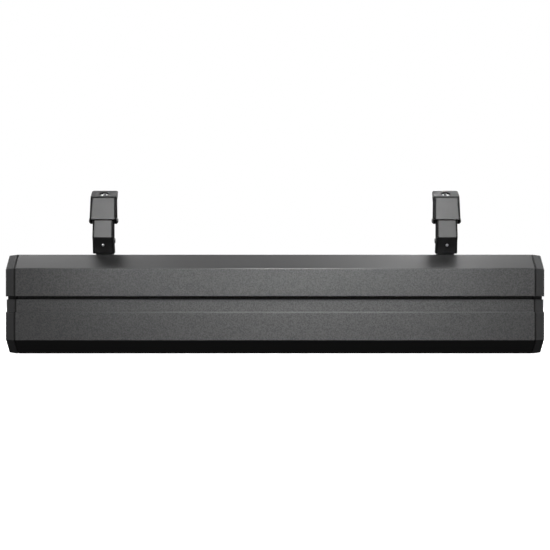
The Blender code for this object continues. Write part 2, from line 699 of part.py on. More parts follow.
def end_panels(cap_left, cap_right):
    for name, side, y in (("power_in", -1, SOCKET_Y[0]), ("power_out", -1, SOCKET_Y[1]),
                          ("data_in", 1, SOCKET_Y[0]), ("data_out", 1, SOCKET_Y[1])):
        chassis_socket(name + "_socket", side, y)
    fuse_holder(cap_left)
    display_window(cap_right)
    menu_buttons(cap_right)


# ---------------------------------------------------------------- brackets
def foot_outline():
    """The side view of a foot: a T-shaped runner, a base and a hub round the arm's hinge."""
    mouth, half = RAIL_MOUTH / 2 - GAP, RAIL_WIDTH / 2 - 2 * GAP
    top, under_lip, floor = HEIGHT + GAP, HEIGHT - RAIL_LIP - GAP, HEIGHT - RAIL_DEPTH + GAP
    hub = 0.0051
    base_top, base_rear = HEIGHT + 0.0030, -0.0045
    lean = math.degrees(math.atan2(ARM_FOOT[0] - ARM_BEND[0], ARM_BEND[1] - ARM_FOOT[1]))
    front = Vector(ARM_AXIS) + Vector((-math.cos(math.radians(lean)), -math.sin(math.radians(lean)))) * hub
    foot_front = front.x + (front.y - top) * math.tan(math.radians(lean))
    outline = [(foot_front, top + GAP)]
    outline += arc(ARM_AXIS, hub, 180 + lean, 0, 8)
    outline += [(ARM_AXIS[0] + hub, base_top), (base_rear, base_top), (base_rear, top + GAP),
                (RAIL_Y + mouth, top), (RAIL_Y + mouth, under_lip), (RAIL_Y + half, under_lip),
                (RAIL_Y + half, floor), (RAIL_Y - half, floor), (RAIL_Y - half, under_lip),
                (RAIL_Y - mouth, under_lip), (RAIL_Y - mouth, top)]
    return outline


def cross_bore(piece, name, radius, axis, x):
    """Bore a hole along X through the whole width of a bracket's piece."""
    y, z = axis
    cut(piece, rod(name, radius, (x - HEAD_WIDTH, y, z), (x + HEAD_WIDTH, y, z), STEEL, 16))


def foot(prefix, x):
    """The runner in the top rail, with the screw that locks it."""
    half = ARM_WIDTH / 2 - SHEET - 0.0004
    screw_seat, tap = HEIGHT + 0.0033, 0.0016
    piece = prism_x(prefix + "_foot", [foot_outline()], x - half, x + half, STEEL)
    cross_bore(piece, prefix + "_foot_bore", PIVOT_RADIUS + GAP, ARM_AXIS, x)
    start, end = (x, RAIL_Y, HEIGHT - 0.0085), (x, RAIL_Y, HEIGHT + 0.01)
    cut(piece, rod(prefix + "_foot_tap", tap + GAP, start, end, STEEL, 16))
    profile = screw_profile(0.0030, 0.0022, tap, 0.0094, 0.0012, 0.0011)
    lock = turned(prefix + "_foot_screw", profile, STEEL, (x, RAIL_Y, screw_seat), (0, 0, 1), 12)
    return piece, lock


def widen(piece, x, rule, fold_z=None):
    """Move each vertex away from the plane at x by what the rule says for its height, with a fold at fold_z."""
    bm = bmesh.new()
    bm.from_mesh(piece.data)
    if fold_z:
        bmesh.ops.bisect_plane(bm, geom=bm.verts[:] + bm.edges[:] + bm.faces[:], dist=0.000001,
                               plane_co=(0, 0, fold_z), plane_no=(0, 0, 1))
    for vertex in bm.verts:
        vertex.co.x += math.copysign(rule(vertex.co.z), vertex.co.x - x)
    bm.to_mesh(piece.data)
    bm.free()


def arm_flare(z):
    """The arm widens from below its hinge down to its foot."""
    return ARM_FLARE * max(0, (ARM_FLARE_Z - z) / (ARM_FLARE_Z - ARM_FOOT[1]))


def arm(prefix, x):
    """The lower channel, bent like a dog-leg, with a round top about the head's hinge."""
    top = arc(HEAD_AXIS, ARM_TOP_RADIUS, 172, 0, 10)
    rear_edge = ARM_AXIS[0] + 0.0053
    outer = [ARM_FOOT, ARM_BEND] + top + [(rear_edge, ARM_AXIS[1]), (rear_edge, ARM_FOOT[1] + 0.001)]
    below = (ARM_FOOT[0] + 0.0048, ARM_FOOT[1] - 0.0099)
    above = (top[0][0] + 0.001, top[0][1] + 0.02)
    face = offset_path([below, ARM_BEND, top[0], above], SHEET)
    inner = face + [(0.0, face[-1][1]), (0.0, face[0][1])]
    piece = prism_x(prefix + "_arm", [outer], x - ARM_WIDTH / 2, x + ARM_WIDTH / 2, SHEET_PAINT)
    widen(piece, x, arm_flare, ARM_FLARE_Z)
    bevel(piece, ARM_EDGE, 3, 60)
    reach = ARM_WIDTH / 2 - SHEET
    cut(piece, prism_x(prefix + "_arm_inside", [inner], x - reach, x + reach, SHEET_PAINT))
    for word, axis in (("arm", ARM_AXIS), ("head", HEAD_AXIS)):
        cross_bore(piece, f"{prefix}_arm_{word}_bore", PIVOT_RADIUS + GAP, axis, x)
    return piece


def arm_screw(prefix, x, piece):
    """The small button-head screw through the lower face of the arm."""
    along = (Vector(ARM_BEND) - Vector(ARM_FOOT)).normalized()
    out = Vector((0, -along.y, along.x))
    place = Vector((x, *Vector(ARM_FOOT).lerp(Vector(ARM_BEND), 0.53)))
    shank = 0.0009
    cut(piece, rod(prefix + "_arm_tap", shank + GAP, place - out * 0.004, place + out * 0.004, SHEET_PAINT, 12))
    profile = screw_profile(0.0017, 0.0011, shank, SHEET, 0.0006, 0.0006)
    return turned(prefix + "_arm_screw", profile, STEEL, place + out * GAP, out, 12)


def arm_pivot(prefix, x, side, arm_piece):
    """The arm's hinge: a low-headed bolt from the inner side and a flush nut in the outer cheek."""
    seat = ARM_WIDTH / 2 + 1.5 * GAP
    inward, nut_radius = -side, 0.0036
    head_profile = [(0, 0.0008), (0.0026, 0.0008), (0.0033, 0.0004), (0.0033, 0), (PIVOT_RADIUS, 0),
                    (PIVOT_RADIUS, -2 * seat + GAP), (0, -2 * seat + GAP)]
    bolt = turned(prefix + "_arm_bolt", head_profile, STEEL, (x + inward * seat, *ARM_AXIS), (inward, 0, 0), 16)
    outer_face = x - inward * ARM_WIDTH / 2
    recess = prism_x(prefix + "_arm_nut_hole", [circle(ARM_AXIS, nut_radius + GAP, 6)],
                     outer_face - inward * 0.003, outer_face + inward * (SHEET + 0.0002), SHEET_PAINT)
    cut(arm_piece, recess)
    ring = [circle(ARM_AXIS, nut_radius, 6), circle(ARM_AXIS, PIVOT_RADIUS + GAP, 16)]
    nut = prism_x(prefix + "_arm_nut", ring, outer_face, outer_face + inward * SHEET, STEEL)
    return bolt, nut


def head_flare(z):
    """The head's sides taper upwards."""
    return HEAD_FLARE * ((HEAD_TIP[1] - z) / (HEAD_TIP[1] - HEAD_AXIS[1]) - 0.5)


def head(prefix, x):
    """The upper channel: face, cheeks with a round lobe at the hinge, and a sloping roof."""
    lobe = 0.0040
    outer = [HEAD_BOTTOM, HEAD_FOLD, (HEAD_FOLD[0] + 0.0008, HEAD_FOLD[1] + 0.0004), ROOF_EDGE, HEAD_TIP,
             (HEAD_TIP[0], HEAD_TIP[1] - 0.003), (-0.0140, 0.1747), (-0.0150, 0.1537)]
    outer += arc(HEAD_AXIS, lobe, 0, -180, 10)
    outer += [(HEAD_AXIS[0] - lobe, HEAD_BOTTOM[1])]
    below = (HEAD_BOTTOM[0] * 2 - HEAD_FOLD[0], HEAD_BOTTOM[1] * 2 - HEAD_FOLD[1])
    beyond = (HEAD_TIP[0] * 2 - ROOF_EDGE[0], HEAD_TIP[1] * 2 - ROOF_EDGE[1])
    inside = offset_path([below, HEAD_FOLD, beyond], HEAD_SHEET)
    inner = inside + [(inside[-1][0], inside[0][1])]
    piece = prism_x(prefix + "_head", [outer], x - HEAD_WIDTH / 2, x + HEAD_WIDTH / 2, SHEET_PAINT)
    round_roof(piece)
    widen(piece, x, head_flare)
    bevel(piece, HEAD_EDGE, 3, 60)
    reach = ARM_WIDTH / 2 + 0.0005
    cut(piece, prism_x(prefix + "_head_inside", [inner], x - reach, x + reach, SHEET_PAINT))
    cross_bore(piece, prefix + "_head_bore", PIVOT_RADIUS + GAP, HEAD_AXIS, x)
    hole, normal = clamp_hole()
    middle, out = Vector((x, *hole)), Vector((0, *normal))
    start, end = middle - out * 0.006, middle + out * 0.006
    cut(piece, rod(prefix + "_clamp_hole", HOLE_RADIUS, start, end, SHEET_PAINT, 24))
    cut(piece, cross_bar(prefix + "_bar_groove", x, GAP))
    return piece


def round_roof(piece):
    """Round the two rear corners of the roof, seen from above."""
    bm = bmesh.new()
    bm.from_mesh(piece.data)
    corners = [edge for edge in bm.edges
               if all(abs(vertex.co.y - HEAD_TIP[0]) < 0.00001 for vertex in edge.verts)
               and abs(edge.verts[0].co.x - edge.verts[1].co.x) < 0.00001]
    bmesh.ops.bevel(bm, geom=corners, offset=ROOF_CORNER, segments=4, profile=0.5, affect="EDGES")
    bm.to_mesh(piece.data)
    bm.free()


def clamp_hole():
    """The middle of the clamp hole on the roof, and the roof's outward normal, as (y, z)."""
    slope = (HEAD_TIP[1] - ROOF_EDGE[1]) / (HEAD_TIP[0] - ROOF_EDGE[0])
    z = ROOF_EDGE[1] + slope * (HOLE_Y - ROOF_EDGE[0])
    normal = Vector((-slope, 1)).normalized()
    return (HOLE_Y, z), (normal.x, normal.y)


def head_rivet(prefix, x):
    """The head's hinge: a rivet with a low dome at each end."""
    seat = HEAD_WIDTH / 2 + HEAD_FLARE / 2 + GAP
    rise = 0.0012
    profile = [(0, seat + rise), (0.0022, seat + rise), (0.0031, seat + rise * 0.5), (0.0031, seat),
               (PIVOT_RADIUS, seat), (PIVOT_RADIUS, -seat), (0.0031, -seat), (0.0031, -seat - rise * 0.5),
               (0.0022, -seat - rise), (0, -seat - rise)]
    return turned(prefix + "_head_rivet", profile, STEEL, (x, *HEAD_AXIS), (1, 0, 0), 12)


def cross_bar(name, x, margin=0.0):
    """The bar below the clamp hole that a quarter-turn stud catches, or with a margin its groove."""
    (y, z), normal = clamp_hole()
    along = Vector((normal[1], -normal[0]))
    middle = Vector((y, z)) - Vector(normal) * CROSS_BAR_DEPTH
    start, end = middle - along * (0.0045 + margin), middle + along * (0.0085 + margin)
    return rod(name, CROSS_BAR_RADIUS + margin, (x, *start), (x, *end), STEEL, 16)


def bracket(word, side):
    prefix = f"bracket_{word}"
    x = side * BRACKET_X
    slide_axis = empty(prefix + "_slide_axis", (x, RAIL_Y, HEIGHT))
    arm_axis = empty(prefix + "_arm_axis", (x, *ARM_AXIS), slide_axis)
    head_axis = empty(prefix + "_head_axis", (x, *HEAD_AXIS), arm_axis)
    attach(slide_axis, *foot(prefix, x))
    lower = arm(prefix, x)
    attach(arm_axis, lower, arm_screw(prefix, x, lower), *arm_pivot(prefix, x, side, lower))
    attach(head_axis, head(prefix, x), head_rivet(prefix, x), cross_bar(prefix + "_cross_pin", x))


# ---------------------------------------------------------------- assembly
def build():
    """Every piece, from the housing inwards."""
    housing()
    front_bezel()
    cap_left = end_cap(-1, "end_cap_left")
    cap_right = end_cap(1, "end_cap_right")
    for side, word in ((-1, "left"), (1, "right")):
        end_seal(side, f"end_seal_{word}")
        end_cap_screws(side, word)
        bracket(word, side)
    front_glass()
    light_engine()
    power_supply()
    driver_board()
    control_board()
    looms()
    end_panels(cap_left, cap_right)


build()
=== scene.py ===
"""Looks of the led strip batten: its finishes, fine pieces, lights and camera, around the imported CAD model.

+X runs along the batten, -Y is its plain rear side, +Y is the side the light leaves by. Metres.
"""
import json
import math

import bmesh
import bpy
from mathutils import Matrix, Vector


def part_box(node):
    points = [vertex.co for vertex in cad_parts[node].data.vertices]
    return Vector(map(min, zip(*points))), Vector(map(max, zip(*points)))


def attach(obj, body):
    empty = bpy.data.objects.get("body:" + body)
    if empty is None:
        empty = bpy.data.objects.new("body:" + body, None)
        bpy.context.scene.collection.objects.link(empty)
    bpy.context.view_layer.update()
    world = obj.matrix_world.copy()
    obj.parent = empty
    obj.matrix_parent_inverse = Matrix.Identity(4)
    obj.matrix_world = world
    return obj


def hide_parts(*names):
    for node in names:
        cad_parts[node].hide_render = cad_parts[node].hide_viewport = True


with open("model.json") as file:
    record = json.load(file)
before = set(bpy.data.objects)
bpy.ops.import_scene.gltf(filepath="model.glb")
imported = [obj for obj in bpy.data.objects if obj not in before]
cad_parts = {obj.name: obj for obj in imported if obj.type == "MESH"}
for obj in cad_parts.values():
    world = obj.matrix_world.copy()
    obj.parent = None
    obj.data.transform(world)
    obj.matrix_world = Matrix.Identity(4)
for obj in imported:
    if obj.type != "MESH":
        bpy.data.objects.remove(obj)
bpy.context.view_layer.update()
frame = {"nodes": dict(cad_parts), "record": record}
NODES = frame["nodes"]

HOUSING_LOW, HOUSING_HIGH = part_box("housing_extrusion")
REAR_Y = HOUSING_LOW.y
TOP_Z = HOUSING_HIGH.z
SIDES = ("left", "right")
ARM_LOW, ARM_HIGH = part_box("bracket_right_arm")
BRACKET_X = round((ARM_LOW.x + ARM_HIGH.x) / 2, 4)

# The camera is level, straight behind the batten.
CAMERA_DISTANCE = 1.275
CAMERA_Z = 0.0886
LENS_MM = 75.0
SENSOR_MM = 36.0

SAND_COLOR = (0.085, 0.085, 0.086)
SAND_ROUGHNESS = 0.6
GRAIN = 0.28                # how far the sand's flecks vary to either side of its colour
GRAIN_SCALE = 830
GRAIN_HEIGHT = 0.00009
SMOOTH_COLOR = (0.012, 0.012, 0.0123)
SMOOTH_ROUGHNESS = 0.36
SHEET_COLOR = (0.010, 0.010, 0.0102)
SHEET_ROUGHNESS = 0.30
SATIN_SPECULAR = 0.5
# the gloss of the painted shade on the brackets' rims, flanges and fold line
SHADE_SPECULAR = 0.04
FOLD_SHADE_HALF_WIDTH = 0.0009    # of the line of painted shade, with almost no gloss, along the fold of a bracket's head
STUDIO_DIM = 0.045          # the surround's brightness for everything but the camera


# ---------------------------------------------------------------- camera
def camera():
    """A level camera straight behind the batten, a little below its top face."""
    data = bpy.data.cameras.new("camera")
    data.lens = LENS_MM
    data.sensor_width = SENSOR_MM
    obj = bpy.data.objects.new("camera", data)
    obj.location = (0.0, REAR_Y - CAMERA_DISTANCE, CAMERA_Z)
    obj.rotation_euler = (math.radians(90), 0, 0)
    bpy.context.scene.collection.objects.link(obj)
    bpy.context.scene.camera = obj


# ---------------------------------------------------------------- materials
class Finish:
    """A Principled material and the few nodes that its detail needs."""

    def __init__(self, name, color, roughness, metallic=0.0):
        self.material = bpy.data.materials.new(name)
        self.material.use_nodes = True
        self.tree = self.material.node_tree
        self.shader = self.tree.nodes["Principled BSDF"]
        self.set("Base Color", (*color, 1.0))
        self.set("Roughness", roughness)
        self.set("Metallic", metallic)
        self.color = color
        self.roughness = roughness
        self.height = None
        self.last_bump = None

    def set(self, socket, value):
        self.shader.inputs[socket].default_value = value
        return self

    def node(self, kind, **inputs):
        node = self.tree.nodes.new(kind)
        for name, value in inputs.items():
            node.inputs[name].default_value = value
        return node

    def link(self, source, target):
        self.tree.links.new(source, target)

    def noise(self, scale, detail=3.0, stretch=(1, 1, 1)):
        """Noise over the object's own coordinates, in metres."""
        place = self.node("ShaderNodeTexCoord")
        mapping = self.node("ShaderNodeMapping")
        mapping.inputs["Scale"].default_value = stretch
        self.link(place.outputs["Object"], mapping.inputs["Vector"])
        noise = self.node("ShaderNodeTexNoise", Scale=scale, Detail=detail)
        self.link(mapping.outputs["Vector"], noise.inputs["Vector"])
        return noise.outputs["Fac"]

    def spread(self, factor, low, high, start=0.3, end=0.7):
        """The factor's range from start to end laid over low to high."""
        spread = self.node("ShaderNodeMapRange", **{"From Min": start, "From Max": end,
                                                    "To Min": low, "To Max": high})
        self.link(factor, spread.inputs["Value"])
        return spread.outputs["Result"]

    def mix_color(self, factor, first, second):
        """From the first colour to the second as the factor goes from 0 to 1."""
        mix = self.node("ShaderNodeMix")
        mix.data_type = "RGBA"
        for index, value in ((6, first), (7, second)):
            if isinstance(value, bpy.types.NodeSocket):
                self.link(value, mix.inputs[index])
            else:
                mix.inputs[index].default_value = (*value, 1)
        self.link(factor, mix.inputs[0])
        return mix.outputs[2]

    def tint(self, factor, amount):
        """Colour that varies by the amount to either side."""
        low = [c * (1 - amount) for c in self.color]
        high = [c * (1 + amount) for c in self.color]
        self.link(self.mix_color(self.spread(factor, 0, 1), low, high), self.shader.inputs["Base Color"])
        return self

    def math(self, operation, *values):
        """One step of arithmetic on numbers and sockets."""
        node = self.node("ShaderNodeMath")
        node.operation = operation
        for index, value in enumerate(values):
            if isinstance(value, bpy.types.NodeSocket):
                self.link(value, node.inputs[index])
            else:
                node.inputs[index].default_value = value
        return node.outputs[0]

    def split(self, vector):
        """The vector's three components."""
        parts = self.node("ShaderNodeSeparateXYZ")
        self.link(vector, parts.inputs[0])
        return parts.outputs

    def chamfers(self, middle_z, reach):
        """1 on the leaning faces further than the reach above or below middle_z, 0 elsewhere."""
        least_lean = 0.3        # the product of a leaning face's two normal components
        geometry = self.node("ShaderNodeNewGeometry")
        normal = self.split(geometry.outputs["True Normal"])
        lean = self.math("ABSOLUTE", self.math("MULTIPLY", normal["Y"], normal["Z"]))
        place = self.split(self.node("ShaderNodeTexCoord").outputs["Object"])
        away = self.math("ABSOLUTE", self.math("SUBTRACT", place["Z"], middle_z))
        return self.math("MULTIPLY", self.math("GREATER_THAN", lean, least_lean),
                         self.math("GREATER_THAN", away, reach))

    def vary_roughness(self, factor, amount):
        """Roughness that varies by the amount to either side."""
        self.link(self.spread(factor, self.roughness - amount, self.roughness + amount),
                  self.shader.inputs["Roughness"])
        return self

    def bump(self, factor, distance, strength=1.0):
        """Relief of the distance's height, laid over any relief before it."""
        bump = self.last_bump = self.node("ShaderNodeBump", Strength=strength, Distance=distance)
        self.link(factor, bump.inputs["Height"])
        if self.height:
            self.link(self.height, bump.inputs["Normal"])
        self.height = bump.outputs["Normal"]
        self.link(self.height, self.shader.inputs["Normal"])
        return self


def sand_coat():
    """Powder coat on the extrusion: fine sand on its flat faces, smooth satin on its chamfers."""
    finish = Finish("powder_coat", SAND_COLOR, SAND_ROUGHNESS)
    chamfer = finish.chamfers(TOP_Z / 2, TOP_Z * 0.3)
    grain = finish.noise(GRAIN_SCALE, 3)
    dark = [c * (1 - GRAIN) for c in SAND_COLOR]
    pale = [c * (1 + GRAIN) for c in SAND_COLOR]
    flecks = finish.mix_color(finish.spread(grain, 0, 1, 0.35, 0.65), dark, pale)
    finish.link(finish.mix_color(chamfer, flecks, SMOOTH_COLOR), finish.shader.inputs["Base Color"])
    roughness = finish.spread(chamfer, SAND_ROUGHNESS, SMOOTH_ROUGHNESS, 0, 1)
    finish.link(roughness, finish.shader.inputs["Roughness"])
    finish.bump(grain, GRAIN_HEIGHT)
    finish.link(finish.spread(chamfer, 0.6, 0.05, 0, 1), finish.last_bump.inputs["Strength"])
    return finish.material


def satin_paint(name, color, roughness):
    """Paint with a faint cloudiness and a fine orange peel."""
    finish = Finish(name, color, roughness)
    finish.tint(finish.noise(60, 3), 0.05)
    finish.bump(finish.noise(900, 2), 0.00002, 0.4)
    finish.vary_roughness(finish.noise(25, 2), 0.03)
    return finish.material


def bracket_paint_and_shade(name, node, rim, taper, fold):
    """Satin paint on a bracket sheet's face. Its flanges, its rims below the fold and a line on the fold are
    matt, which paints them dark: painted shade for the dark reflections of the round edges and for the shade
    in the gap at the fold.

    The rim is the width of painted shade at each side. The taper is how much narrower each side is at the
    top.
    The fold is given by its height at rest.
    """
    finish = Finish(name, SHEET_COLOR, SHEET_ROUGHNESS)
    low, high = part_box(node)
    middle, edge = abs(low.x + high.x) / 2, (high.x - low.x) / 2 - rim
    place = finish.split(finish.node("ShaderNodeTexCoord").outputs["Object"])
    sideways = finish.math("ABSOLUTE", finish.math("SUBTRACT", finish.math("ABSOLUTE", place["X"]), middle))
    edge_here = finish.spread(place["Z"], edge, edge - taper, low.z, high.z)
    past_edge = finish.math("SUBTRACT", sideways, edge_here)
    from_fold = finish.math("ABSOLUTE", finish.math("SUBTRACT", place["Z"], fold))
    # Painted shade: the rims and flanges below the fold, and a line on the fold, lose their gloss and turn
    # dark.
    painted_shade = finish.math("MINIMUM", past_edge, finish.math("SUBTRACT", fold, place["Z"]))
    painted_shade = finish.math("MAXIMUM", painted_shade, finish.math("SUBTRACT", FOLD_SHADE_HALF_WIDTH, from_fold))
    specular = finish.spread(painted_shade, SATIN_SPECULAR, SHADE_SPECULAR, -0.0002, 0.0003)
    finish.link(specular, finish.shader.inputs["Specular IOR Level"])
    finish.bump(finish.noise(900, 2), 0.00002, 0.4)
    return finish.material


def brushed(name, color, roughness):
    """Metal with fine brush lines along X."""
    finish = Finish(name, color, roughness, 1.0)
    lines = finish.noise(900, 2, (0.02, 1, 1))
    finish.tint(lines, 0.08).bump(lines, 0.00001, 0.5)
    return finish.material


def clear(name, color, roughness, ior, transmission):
    """Glass or acrylic with barely uneven faces."""
    finish = Finish(name, color, roughness)
    finish.set("IOR", ior).set("Transmission Weight", transmission)
    finish.bump(finish.noise(20, 1), 0.00001, 0.1)
    return finish.material


def board_finish(name, color):
    """Solder mask over the faint streaks of the tracks below it."""
    finish = Finish(name, color, 0.4)
    finish.tint(finish.noise(500, 1, (1, 0.05, 1)), 0.25)
    return finish.material


def make_materials():
    """Every finish, by the record's material slot or by the name of what wears it."""
    return {
        "housing": sand_coat(),
        "end_cap": satin_paint("end_cap_paint", (0.052, 0.052, 0.053), 0.45),
        "head_sheet": bracket_paint_and_shade("head_paint_and_shade", "bracket_left_head", 0.0021, 0.0016, 0.1768),
        "arm_sheet": bracket_paint_and_shade("arm_paint_and_shade", "bracket_left_arm", 0.0024, 0.0008, 0.1520),
        "bracket_foot": satin_paint("foot_paint", (0.045, 0.045, 0.046), 0.45),
        "fastener": satin_paint("black_oxide", (0.035, 0.035, 0.036), 0.32),
        "seal": satin_paint("rubber", (0.012, 0.012, 0.012), 0.75),
        "plastic": satin_paint("black_plastic", (0.022, 0.022, 0.023), 0.42),
        "button": satin_paint("key_rubber", (0.035, 0.035, 0.036), 0.6),
        "cable": satin_paint("cable_sleeve", (0.02, 0.02, 0.02), 0.5),
        "glass": clear("front_glass", (0.95, 0.97, 0.97), 0.03, 1.5, 1.0),
        "display_glass": clear("smoked_glass", (0.20, 0.22, 0.24), 0.05, 1.5, 0.6),
        "lens": clear("lens_acrylic", (0.97, 0.98, 1.0), 0.06, 1.49, 1.0),
        "plate": brushed("aluminium", (0.72, 0.72, 0.73), 0.35),
        "zinc_case": brushed("zinc_plate", (0.60, 0.61, 0.62), 0.4),
        "circuit_board": board_finish("green_board", (0.03, 0.13, 0.05)),
        "led_board": board_finish("white_board", (0.75, 0.75, 0.72)),
        "bright_screw": brushed("zinc_screw", (0.62, 0.62, 0.63), 0.45),
        "contact": brushed("contact_metal", (0.78, 0.66, 0.42), 0.3),
        "phosphor": satin_paint("phosphor", (0.80, 0.62, 0.10), 0.5),
        "sign": satin_paint("key_sign", (0.55, 0.55, 0.55), 0.5),
        "display_face": satin_paint("display_face", (0.010, 0.011, 0.012), 0.3),
        "figure": satin_paint("unlit_figure", (0.16, 0.05, 0.04), 0.4),
    }


# The width of the fine round edge, by material slot.
EDGES = {"plastic": 0.0004, "bracket_foot": 0.0003, "plate": 0.0003, "zinc_case": 0.0004, "button": 0.0004}

# The finish of the nodes whose names end so, in the place of their slot's finish.
OWN_FINISH = {"arm_screw": "bright_screw", "_head": "head_sheet", "_arm": "arm_sheet"}


def finish_nodes(materials):
    """Give each CAD node its finish, and fine round edges to the pieces whose edges are sharp."""
    slots = {row["node"]: row["material_slot"] for row in frame["record"]["subparts"]}
    for name, node in NODES.items():
        node.data.materials.clear()
        own = next((own for ending, own in OWN_FINISH.items() if name.endswith(ending)), slots[name])
        node.data.materials.append(materials[own])
        width = EDGES.get(slots[name])
        if width:
            soften(node, width)


def soften(obj, width, angle=45):
    """Weld the faceted solid and round its edges a little."""
    weld = obj.modifiers.new("weld", "WELD")
    weld.merge_threshold = 0.00001
    bevel = obj.modifiers.new("fine_edges", "BEVEL")
    bevel.width = width
    bevel.segments = 2
    bevel.limit_method = "ANGLE"
    bevel.angle_limit = math.radians(angle)
    bevel.use_clamp_overlap = True


# ---------------------------------------------------------------- fine pieces
HEXAGON_RINGS = (1, 2, 3)   # the rings of a screw's profile that make its hexagon socket
SOCKETS = {"power_in": "blades", "power_out": "blades", "data_in": "pins", "data_out": "holes"}
MOUTH_RADIUS = 0.0095       # of a socket's mouth
MOUTH_DEPTH = 0.0142
CORE_RADIUS = 0.0064        # of the insulator inside the mouth
CORE_LENGTH = 0.0112
CONTACT_CIRCLE = 0.0042     # radius of the circle that the data contacts stand on
BLADE_REACH = 0.0036        # from a power socket's axis to its blades
FLANGE_SCREW = (0.0098, 0.0122)     # across and up from a socket's axis to a flange screw
LATCH_Z = 0.0128            # from a socket's axis up to its latch


def add_piece(name, mesh, material, body="housing"):
    """Register a fine piece with its material and the body that it rides on."""
    obj = bpy.data.objects.new(name, mesh)
    bpy.context.scene.collection.objects.link(obj)
    mesh.materials.clear()
    mesh.materials.append(material)
    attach(obj, body)
    return obj


def across(direction):
    """The matrix that turns +Z to the direction and keeps the shape's own Y as near upright as it can."""
    z = Vector(direction).normalized()
    up = Vector((0, 0, 1)) if abs(z.z) < 0.9 else Vector((0, 1, 0))
    x = up.cross(z).normalized()
    return Matrix((x, z.cross(x), z)).transposed().to_4x4()


def lathe(name, profile, at, direction, steps=32, corners=None):
    """Rings of (radius, height) about the direction; a ring that corners names by its index is a hexagon."""
    bm = bmesh.new()
    rings = []
    for index, (radius, height) in enumerate(profile):
        if radius == 0:
            rings.append([bm.verts.new((0, 0, height))])
            continue
        ring = []
        for step in range(steps):
            turn = 2 * math.pi * step / steps
            reach = radius
            if corners and index in corners:
                reach = radius / math.cos((turn + math.pi / 6) % (math.pi / 3) - math.pi / 6)
            ring.append(bm.verts.new((reach * math.cos(turn), reach * math.sin(turn), height)))
        rings.append(ring)
    for first, second in zip(rings, rings[1:]):
        for step in range(steps):
            after = (step + 1) % steps
            face = [first[step % len(first)], first[after % len(first)],
                    second[after % len(second)], second[step % len(second)]]
            bm.faces.new(dict.fromkeys(face))
    bmesh.ops.recalc_face_normals(bm, faces=bm.faces)
    mesh = bpy.data.meshes.new(name)
    bm.to_mesh(mesh)
    bm.free()
    mesh.transform(Matrix.Translation(at) @ across(direction))
    mesh.shade_smooth()
    mesh.set_sharp_from_angle(angle=math.radians(40))
    return mesh


def plate(name, outlines, thickness, at, direction, edge=0.0):
    """A flat outline with holes, its thickness along the direction from the place, with rounded edges."""
    curve = bpy.data.curves.new(name, "CURVE")
    curve.dimensions = "2D"
    curve.fill_mode = "BOTH"
    curve.extrude = thickness / 2 - edge
    curve.bevel_depth = edge
    curve.bevel_resolution = 2
    curve.offset = -edge
    for outline in outlines:
        spline = curve.splines.new("POLY")
        spline.points.add(len(outline) - 1)
        for point, (u, v) in zip(spline.points, outline):
            point.co = (u, v, 0, 1)
        spline.use_cyclic_u = True
    guide = bpy.data.objects.new(name + "_outline", curve)
    bpy.context.scene.collection.objects.link(guide)
    bpy.context.view_layer.update()
    mesh = bpy.data.meshes.new_from_object(guide.evaluated_get(bpy.context.evaluated_depsgraph_get()))
    bpy.data.objects.remove(guide, do_unlink=True)
    bpy.data.curves.remove(curve)
    middle = Vector(at) + Vector(direction).normalized() * thickness / 2
    mesh.transform(Matrix.Translation(middle) @ across(direction))
    mesh.shade_smooth()
    mesh.set_sharp_from_angle(angle=math.radians(40))
    return mesh


def circle(u, v, radius, steps=28):
    """A circle about (u, v) as an outline."""
    return [(u + radius * math.cos(2 * math.pi * i / steps), v + radius * math.sin(2 * math.pi * i / steps))
            for i in range(steps)]


def round_box(u, v, half_u, half_v, radius, steps=5):
    """A rectangle about (u, v) with round corners."""
    points = []
    for quarter, (a, b) in enumerate(((1, 1), (-1, 1), (-1, -1), (1, -1))):
        for i in range(steps + 1):
            turn = math.radians(90 * quarter + 90 * i / steps)
            points.append((u + a * (half_u - radius) + radius * math.cos(turn),
                           v + b * (half_v - radius) + radius * math.sin(turn)))
    return points


def body_of(node):
    """The moving body that holds the node."""
    bodies = frame["record"]["behaviour"]["bodies"]
    return next(body for body, nodes in bodies.items() if node in nodes)


def hex_screw(name, material, node, direction, head_radius, head_height, shank_radius):
    """A button-head screw with a hexagon socket in the place of a CAD screw."""
    low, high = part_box(node)
    direction = Vector(direction)
    length = abs((high - low).dot(direction))
    top = (low + high) / 2 + direction * length / 2
    socket = head_radius * 0.42
    profile = [(0, -head_height * 0.62), (socket, -head_height * 0.55), (socket, -0.00008),
               (socket * 1.08, 0), (head_radius * 0.62, -head_height * 0.04),
               (head_radius * 0.86, -head_height * 0.28), (head_radius * 0.97, -head_height * 0.6),
               (head_radius, -head_height * 0.85), (head_radius * 0.98, -head_height),
               (shank_radius, -head_height), (shank_radius, -length), (0, -length)]
    mesh = lathe(name, profile, top, direction, 36, HEXAGON_RINGS)
    screw = add_piece(name, mesh, material, body_of(node))
    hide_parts(node)


def screws(materials):
    """Hexagon sockets on the screws of the end caps and of the brackets' feet."""
    steel = materials["fastener"]
    for side in SIDES:
        outward = (-1, 0, 0) if side == "left" else (1, 0, 0)
        for index in (1, 2, 3, 4):
            hex_screw(f"cap_screw_{side}_{index}", steel, f"end_cap_screw_{side}_{index}", outward,
                      0.0036, 0.0024, 0.0019)
        hex_screw(f"runner_screw_{side}", steel, f"bracket_{side}_foot_screw", (0, 0, 1),
                  0.0030, 0.0022, 0.0016)


def socket_front(name):
    """The middle of a socket's flange, on its outer face, and the way that it faces."""
    low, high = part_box(name)
    side = 1 if high.x > 0 else -1
    face = high.x if side > 0 else low.x
    return Vector((face, (low.y + high.y) / 2, (low.z + high.z) / 2)), Vector((side, 0, 0))


